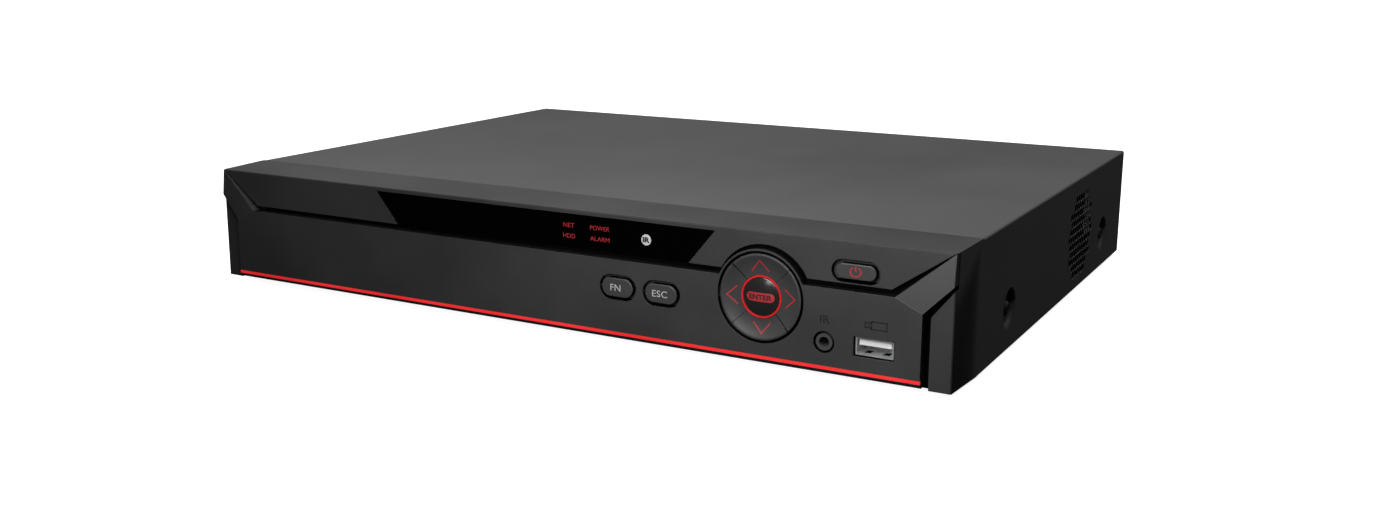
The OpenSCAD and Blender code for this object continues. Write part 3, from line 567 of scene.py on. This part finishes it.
# Solid turned about an axis along Y through at; the profile is (radius, y) pairs, y from the band
def turned(profile, at, angle=360, start=0, steps=96):
    shape = bmesh.new()
    points = [shape.verts.new((r * mm, bandFront + y * mm, 0)) for r, y in profile]
    whole = angle == 360
    face = None if whole else shape.faces.new(points)
    edges = [shape.edges.new(pair) for pair in zip(points, points[1:])] if whole else []
    geom = points + edges if whole else points + face.edges[:] + [face]
    turn = Matrix.Rotation(math.radians(start), 4, "Y")
    bmesh.ops.transform(shape, verts=shape.verts, matrix=turn)
    bmesh.ops.spin(shape, geom=geom, cent=(0, 0, 0), axis=(0, 1, 0), angle=math.radians(angle),
                   steps=steps, use_merge=whole, use_normal_flip=False, use_duplicate=False)
    bmesh.ops.remove_doubles(shape, verts=shape.verts, dist=mergeGap)
    bmesh.ops.recalc_face_normals(shape, faces=shape.faces)
    bmesh.ops.translate(shape, verts=shape.verts, vec=(at.x, 0, at.z))
    return shape


pad = {  # in mm, y from the band
    "inner": 7.65, "outer": 15.2, "edge": 0.8, "dish": 1.3, "rimY": -2.75, "steps": 10,
    "roll": [(-0.45, 0.02), (-0.15, 0.12), (0, 0.4)], "flange": 16.6, "flangeHalf": 0.6, "back": 1.6,
    "stem": 2, "stemFrom": 1, "stemAt": 11.6, "slack": 0.05, "turnSteps": 30,
}


def padProfile():
    inner, outer, rimY, steps = (pad[k] for k in ("inner", "outer", "rimY", "steps"))
    flange, half, back = (pad[k] for k in ("flange", "flangeHalf", "back"))
    reach = outer - pad["edge"] - inner
    dish = [(inner + reach * i / steps, rimY + pad["dish"] * (1 - (i / steps) ** 2))
            for i in range(steps + 1)]
    rim = [(outer + r, rimY + y) for r, y in pad["roll"]]
    return dish + rim + [(outer, -half), (flange, -half), (flange, half), (outer, half),
                         (outer, back), (inner, back)]


keyGaps = {  # start of each key's quarter and half of the gap at its start and at its end, in degrees
    "nav_key_right": (-45, 0.35, 0.8), "nav_key_up": (225, 0.8, 0.35),
    "nav_key_left": (135, 0.35, 0.8), "nav_key_down": (45, 0.8, 0.35),
}
for nodeName, (start, first, last) in keyGaps.items():
    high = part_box(nodeName)[1]
    shape = turned(padProfile(), padAt, 90 - first - last, start + first, pad["turnSteps"])
    stemAt = padAt + (middle(nodeName) - padAt).normalized() * pad["stemAt"] * mm
    addRod(shape, pad["stem"] * mm, bandFront + pad["stemFrom"] * mm, high.y, stemAt)
    for face in shape.faces:  # the flange and the outer wall get painted shade, as they lie in the shade of the gap
        spread = face.calc_center_median() - padAt
        across = face.normal.cross(spread).y / spread.length
        onRim = math.hypot(spread.x, spread.z) > (pad["outer"] - pad["slack"]) * mm
        if onRim or abs(across) > squarely:
            face.material_index = 1
    flattenShading(addPiece(nodeName.replace("nav_key", "key"), shape, "padPlastic", nodeName,
                            [nodeName], others=["paintedShadeBlack"]))

enter = {  # in mm, y from the band; the bends are in degrees
    "r": 6.75, "face": -2.5, "drop": 0.85, "edge": 0.3, "steps": 12, "bends": (22, 45, 67, 90),
    "back": 3.0, "stem": 2.0,
}


def enterProfile():
    r, edge, steps = enter["r"], enter["edge"], enter["steps"]
    dome = [((r - edge) * i / steps, enter["face"] + enter["drop"] * (i / steps) ** 2)
            for i in range(steps + 1)]
    bend = [(r - edge + edge * math.sin(math.radians(a)),
             dome[-1][1] + edge * (1 - math.cos(math.radians(a)))) for a in enter["bends"]]
    stem, back = enter["stem"], enter["back"]
    stemEnd = (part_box("enter_button")[1].y - bandFront) / mm
    return dome + bend + [(r, back), (stem, back), (stem, stemEnd), (0.0, stemEnd)]


addPiece("enter_cap", turned(enterProfile(), padAt), "enterGloss", "enter_button", ["enter_button"],
         40)
print("buttons made")


inkThick = 0.03 * mm
inkSides = 48  # of a printed disc
arcSteps = 40
letterGap = 1e-5  # points of a letter nearer than this become one, before it gets its size


def placeOnFront(shape, at, y):  # turns a drawing from the XY plane to face -Y at the given place
    turn = Matrix.Translation((at[0], y, at[1])) @ Matrix.Rotation(math.radians(90), 4, "X")
    bmesh.ops.transform(shape, verts=shape.verts, matrix=turn)


def printMark(name, shape, at, y, finish, body):
    placeOnFront(shape, at, y)
    addPiece(name, shape, finish, body, smooth=20)


def printCurved(name, shape, faceY, finish, body):  # a mark on a face that changes with the distance
    placeOnFront(shape, (padAt.x, padAt.z), 0)  # from the pad's centre
    for point in shape.verts:
        point.co.y += faceY(math.hypot(point.co.x - padAt.x, point.co.z - padAt.z))
    addPiece(name, shape, finish, body, smooth=20)


def thicken(shape):
    pushOut(shape, (0, 0, inkThick))


def letters(words, height, width, bold=0.0):
    curve = bpy.data.curves.new("letters", "FONT")
    curve.offset = bold
    curve.body = words
    curve.align_x = "CENTER"
    curve.align_y = "CENTER"
    curve.resolution_u = 3
    holder = bpy.data.objects.new("letters", curve)
    bpy.context.collection.objects.link(holder)
    mesh = bpy.data.meshes.new_from_object(holder.evaluated_get(bpy.context.evaluated_depsgraph_get()))
    bpy.data.objects.remove(holder)
    shape = bmesh.new()
    shape.from_mesh(mesh)
    bpy.data.meshes.remove(mesh)
    bmesh.ops.remove_doubles(shape, verts=shape.verts, dist=letterGap)
    xs = [v.co.x for v in shape.verts]
    ys = [v.co.y for v in shape.verts]
    centre = Vector(((min(xs) + max(xs)) / 2, (min(ys) + max(ys)) / 2, 0))
    fit = Matrix.Diagonal((width / (max(xs) - min(xs)), height / (max(ys) - min(ys)), 1, 1))
    bmesh.ops.transform(shape, verts=shape.verts, matrix=fit @ Matrix.Translation(-centre))
    thicken(shape)
    return shape


def joinShapes(shapes):
    whole = bmesh.new()
    for shape in shapes:
        mesh = bpy.data.meshes.new("joined")
        shape.to_mesh(mesh)
        shape.free()
        whole.from_mesh(mesh)
        bpy.data.meshes.remove(mesh)
    return whole


def bar(x0, y0, x1, y1, width):  # straight line of ink
    shape = bmesh.new()
    run = Vector((x1 - x0, y1 - y0, 0))
    size = Matrix.Diagonal((run.length + width, width, inkThick, 1.0))
    place = Matrix.Translation(((x0 + x1) / 2, (y0 + y1) / 2, inkThick / 2))
    turn = Matrix.Rotation(math.atan2(run.y, run.x), 4, "Z")
    bmesh.ops.create_cube(shape, size=1.0, matrix=place @ turn @ size)
    return shape


def arc(radius, width, start, end):
    shape = bmesh.new()
    inner, outer = radius - width / 2, radius + width / 2
    corners = [shape.verts.new((r, 0, z)) for r, z in
               ((inner, 0), (outer, 0), (outer, inkThick), (inner, inkThick))]
    face = shape.faces.new(corners)
    geom = corners + face.edges[:] + [face]
    turn = Matrix.Rotation(math.radians(start), 4, "Z")
    bmesh.ops.transform(shape, verts=shape.verts, matrix=turn)
    bmesh.ops.spin(shape, geom=geom, cent=(0, 0, 0), axis=(0, 0, 1), angle=math.radians(end - start),
                   steps=arcSteps, use_merge=False, use_normal_flip=False, use_duplicate=False)
    bmesh.ops.recalc_face_normals(shape, faces=shape.faces)
    return shape


def disc(radius, reach=0.0):  # disc, or a pill when reach is above 0
    shape = bmesh.new()
    points = bmesh.ops.create_circle(shape, cap_ends=True, segments=inkSides, radius=radius)["verts"]
    stretchEnds(points, reach)
    thicken(shape)
    return shape


ledLow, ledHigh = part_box("status_leds")
ledInset = 1.9 * mm
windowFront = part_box("display_window")[0].y
shortLegend, tallLegend = (1.6 * mm, 4.7 * mm), (1.6 * mm, 8.2 * mm)  # height and width
legends = {
    "NET": {"at": (ledLow.x + ledInset - 0.3 * mm, ledHigh.z - ledInset), "size": shortLegend},
    "HDD": {"at": (ledLow.x + ledInset - 0.2 * mm, ledLow.z + ledInset), "size": (1.6 * mm, 5.3 * mm)},
    "POWER": {"at": (ledHigh.x - ledInset - 0.4 * mm, ledHigh.z - ledInset), "size": tallLegend},
    "ALARM": {"at": (ledHigh.x - ledInset - 0.4 * mm, ledLow.z + ledInset), "size": tallLegend},
}
legendBold = -0.008
shapes = []
for words, spec in legends.items():
    shape = letters(words, *spec["size"], legendBold)
    placeOnFront(shape, spec["at"], windowFront)
    shapes.append(shape)
addPiece("lit_legends", joinShapes(shapes), "litRed", "case", smooth=20)

badge = {"r": 2.0 * mm, "letters": (2.0 * mm, 2.9 * mm, 0.05), "left": 0.4 * mm}
eyeAt = middle("ir_receiver") - Vector((badge["left"], 0, 0))
for name, shape, y, finish in (
    ("receiver_badge", disc(badge["r"]), windowFront, "badgeWhite"),
    ("receiver_badge_letters", letters("IR", *badge["letters"]), windowFront - inkThick, "printDark"),
):
    printMark(name, shape, (eyeAt.x, eyeAt.z), y, finish, "case")

capLabels = {
    "fn_button": {"words": "FN", "size": (2.4 * mm, 4.2 * mm), "left": 0.7 * mm},
    "esc_button": {"words": "ESC", "size": (2.4 * mm, 6.1 * mm), "left": 0.4 * mm},
}
for nodeName, spec in capLabels.items():
    at = middle(nodeName)
    printMark(nodeName.replace("button", "label"), letters(spec["words"], *spec["size"]),
              (at.x - spec["left"], at.z), plateFront - buttonProud, "printGrey", nodeName)

powerAt = middle("power_button")
powerMark = {"r": 1.55 * mm, "line": 0.42 * mm, "widen": 1.2, "turn": (120, 420),
             "stroke": (0.5 * mm, 1.7 * mm)}
low, high = powerMark["stroke"]
shape = joinShapes([arc(powerMark["r"], powerMark["line"], *powerMark["turn"]),
                    bar(0, low, 0, high, powerMark["line"])])
bmesh.ops.scale(shape, verts=shape.verts, vec=(powerMark["widen"], 1, 1))
printMark("power_mark", shape, (powerAt.x, powerAt.z), bandFront - buttonProud, "printRedPaintedGlow",
          "power_button")

# Chevrons on the keys, each with its apex towards the pad's edge; turn is in degrees
chevron = {"apex": 12.75 * mm, "half": 3.1 * mm, "rise": 3.7 * mm, "line": 0.4 * mm, "turn": 2.5,
           "long": 2 * mm, "cuts": 10}  # edges above long are cut, to follow the dish


def dishY(radius):  # where the dished face lies, at a distance from the pad's centre
    reach = (pad["outer"] - pad["edge"] - pad["inner"]) * mm
    share = min(max((radius - pad["inner"] * mm) / reach, 0), 1)
    return bandFront + (pad["rimY"] + pad["dish"] * (1 - share ** 2)) * mm


keyTurns = {"nav_key_up": 0, "nav_key_right": -90, "nav_key_down": 180, "nav_key_left": 90}
for nodeName, turn in keyTurns.items():
    half, rise, apex, line = (chevron[k] for k in ("half", "rise", "apex", "line"))
    shape = joinShapes([bar(side * half, apex - rise, 0, apex, line) for side in (-1, 1)])
    longEdges = [e for e in shape.edges if e.calc_length() > chevron["long"]]
    bmesh.ops.subdivide_edges(shape, edges=longEdges, cuts=chevron["cuts"], use_grid_fill=True)
    aimed = Matrix.Rotation(math.radians(turn + chevron["turn"]), 4, "Z")
    bmesh.ops.transform(shape, verts=shape.verts, matrix=aimed)
    printCurved(nodeName.replace("nav_key", "chevron"), shape, dishY, "printRedPaintedGlow", nodeName)

enterMark = {"h": 3.1 * mm, "w": 10.4 * mm, "letters": (1.85 * mm, 8.5 * mm, 0.035),
             "long": 1.2 * mm, "cuts": 4}


def domeY(radius):  # where the domed face lies, at a distance from its centre
    share = radius / ((enter["r"] - enter["edge"]) * mm)
    return bandFront + enter["face"] * mm + enter["drop"] * mm * share ** 2


for name, shape, lift, finish in (
    ("enter_pill", disc(enterMark["h"] / 2, (enterMark["w"] - enterMark["h"]) / 2), 0, "printRedPaintedGlow"),
    ("enter_letters", letters("ENTER", *enterMark["letters"]), inkThick, "printDark"),
):
    bmesh.ops.triangulate(shape, faces=shape.faces)
    longEdges = [e for e in shape.edges if e.calc_length() > enterMark["long"]]
    bmesh.ops.subdivide_edges(shape, edges=longEdges, cuts=enterMark["cuts"])
    bmesh.ops.triangulate(shape, faces=shape.faces)
    printCurved(name, shape, lambda radius: domeY(radius) - lift, finish, "enter_button")

jackLabel = {"size": (2.7 * mm, 3.6 * mm, 0.02), "right": 0.3 * mm, "up": 7.9 * mm}
jackAt, usbAt = middle("ir_jack"), middle("usb_front_shell")
printMark("jack_label", letters("IR", *jackLabel["size"]),
          (jackAt.x + jackLabel["right"], jackAt.z + jackLabel["up"]), plateFront,
          "printDark", "case")

# Generic sign for a data stick: a body with a smaller plug and two dots
stick = {"body": (5.2 * mm, 2.6 * mm), "plug": (2.2 * mm, 1.7 * mm), "line": 0.42 * mm,
         "dotUp": 0.3 * mm, "dotLong": 0.2 * mm, "right": 0.6 * mm, "up": 7.9 * mm}
bodyW, bodyH = stick["body"]
plugW, plugH = stick["plug"]
outline = [(0, -bodyH / 2, bodyW, -bodyH / 2), (bodyW, -bodyH / 2, bodyW, bodyH / 2),
           (bodyW, bodyH / 2, 0, bodyH / 2), (0, bodyH / 2, 0, -bodyH / 2),
           (0, plugH / 2, -plugW, plugH / 2), (-plugW, plugH / 2, -plugW, -plugH / 2),
           (-plugW, -plugH / 2, 0, -plugH / 2)]
for up in (stick["dotUp"], -stick["dotUp"]):
    outline.append((-plugW / 2, up, -plugW / 2 + stick["dotLong"], up))
shape = joinShapes([bar(*line, stick["line"]) for line in outline])
bmesh.ops.translate(shape, verts=shape.verts, vec=(-(bodyW - plugW) / 2, 0, 0))
printMark("stick_sign", shape, (usbAt.x + stick["right"], usbAt.z + stick["up"]), plateFront,
          "printDark", "case")
print("marks printed")


# near is the floor's glow close to the case, lower than far away: a painted shadow round the case
stage = {"half": 12, "fade": (0.2, 0.7), "near": 0.94, "dim": 0.019}  # fade is measured in metres
floorShape = bmesh.new()
bmesh.ops.create_grid(floorShape, x_segments=1, y_segments=1, size=stage["half"])
floorMesh = bpy.data.meshes.new("floor")
floorShape.to_mesh(floorMesh)
floorShape.free()
floor = bpy.data.objects.new("floor", floorMesh)
bpy.context.collection.objects.link(floor)
floor.location.z = cadLow.z
stageFinish, wire, coords = newFinish("paleFloor")
away = wire.node("VectorMath", {"operation": "LENGTH"}, {0: coords}, out=1).over(*stage["fade"])
closeFinish(stageFinish, wire, {
    "Base Color": (0.5, 0.5, 0.5, 1), "Roughness": 0.9, "Specular IOR Level": 0.0,
    "Emission Color": away.blend(grey(stage["near"]), (1, 1, 1)), "Emission Strength": 1.0})
floorMesh.materials.append(stageFinish)
floor.visible_glossy = False
floor.visible_diffuse = False

world = bpy.data.worlds.new("studio")
world.use_nodes = True
bpy.context.scene.world = world
tree = world.node_tree
tree.nodes.clear()
sky = Wire(tree)
seen = sky.node("LightPath", out="Is Camera Ray")
plain = sky.node("Background", inputs={"Color": (1, 1, 1, 1), "Strength": 1.0})
dim = sky.node("Background", inputs={"Color": (1, 1, 1, 1), "Strength": stage["dim"]})
sky.node("OutputWorld", inputs={"Surface": sky.node("MixShader", inputs={0: seen, 1: dim, 2: plain})})

caseCentre = (cadLow + cadHigh) / 2
padCentre = Vector((padAt.x, bandFront, padAt.z))
lights = {  # place is measured from the middle of the case, in metres
    "top": {"place": (0, 0.06, 1.7), "size": 1.6, "power": 46.9, "target": caseCentre},
    "backLeft": {"place": (-2.17, 1.25, 0.67), "size": 1.6, "power": 0.6, "target": caseCentre},
    "overBackLeft": {"place": (-0.35, 0.35, 0.325), "size": 0.4, "power": 0.09,
                     "target": caseCentre + Vector((-0.05, 0.05, 0.02))},
    "sideRear": {"place": (0.6, 0.3, 0.375), "size": 0.45, "power": 0.28,
                 "target": Vector((cadHigh.x, 0.05, caseCentre.z))},
    "sideNear": {"place": (0.33, 0.3, 0.325), "size": 0.25, "power": 0.11,
                 "target": Vector((cadHigh.x, 0.08, caseCentre.z))},
    "frontMiddle": {"place": (0.06, -0.33, 0.175), "size": 0.12, "power": 0.19,
                    "target": padCentre - Vector((0.04, 0, 0))},
    "frontLow": {"place": (0.10, -0.33, 0.095), "size": 0.12, "power": 0.35, "target": padCentre},
    "frontHigh": {"place": (0.12, -0.30, 0.195), "size": 0.12, "power": 0.35, "target": padCentre},
}


def aim(thing, place, target):
    thing.location = place
    thing.rotation_euler = (target - place).to_track_quat("-Z", "Y").to_euler()


def direction(azimuth, height):
    a, e = math.radians(azimuth), math.radians(height)
    return Vector((math.sin(a) * math.cos(e), -math.cos(a) * math.cos(e), math.sin(e)))


for name, spec in lights.items():
    data = bpy.data.lights.new(name, "AREA")
    data.size = spec["size"]
    data.energy = spec["power"]
    lamp = bpy.data.objects.new(name, data)
    lamp.visible_camera = False
    bpy.context.collection.objects.link(lamp)
    aim(lamp, caseCentre + Vector(spec["place"]), spec["target"])

view = {"place": (0.28784, -0.5390, 0.14593), "azimuth": 30.272, "elevation": 12.042, "lens": 35.40,
        "shift": (0.0393, -0.0208), "sensor": 36, "clip": (0.01, 60)}
camera = bpy.data.objects.new("camera", bpy.data.cameras.new("camera"))
bpy.context.collection.objects.link(camera)
camera.data.sensor_width = view["sensor"]
camera.data.lens = view["lens"]
camera.data.shift_x, camera.data.shift_y = view["shift"]
camera.data.clip_start, camera.data.clip_end = view["clip"]
place = Vector(view["place"])
aim(camera, place, place - direction(view["azimuth"], view["elevation"]))
bpy.context.scene.camera = camera
bpy.context.scene.view_settings.view_transform = "Standard"
print("stage set")
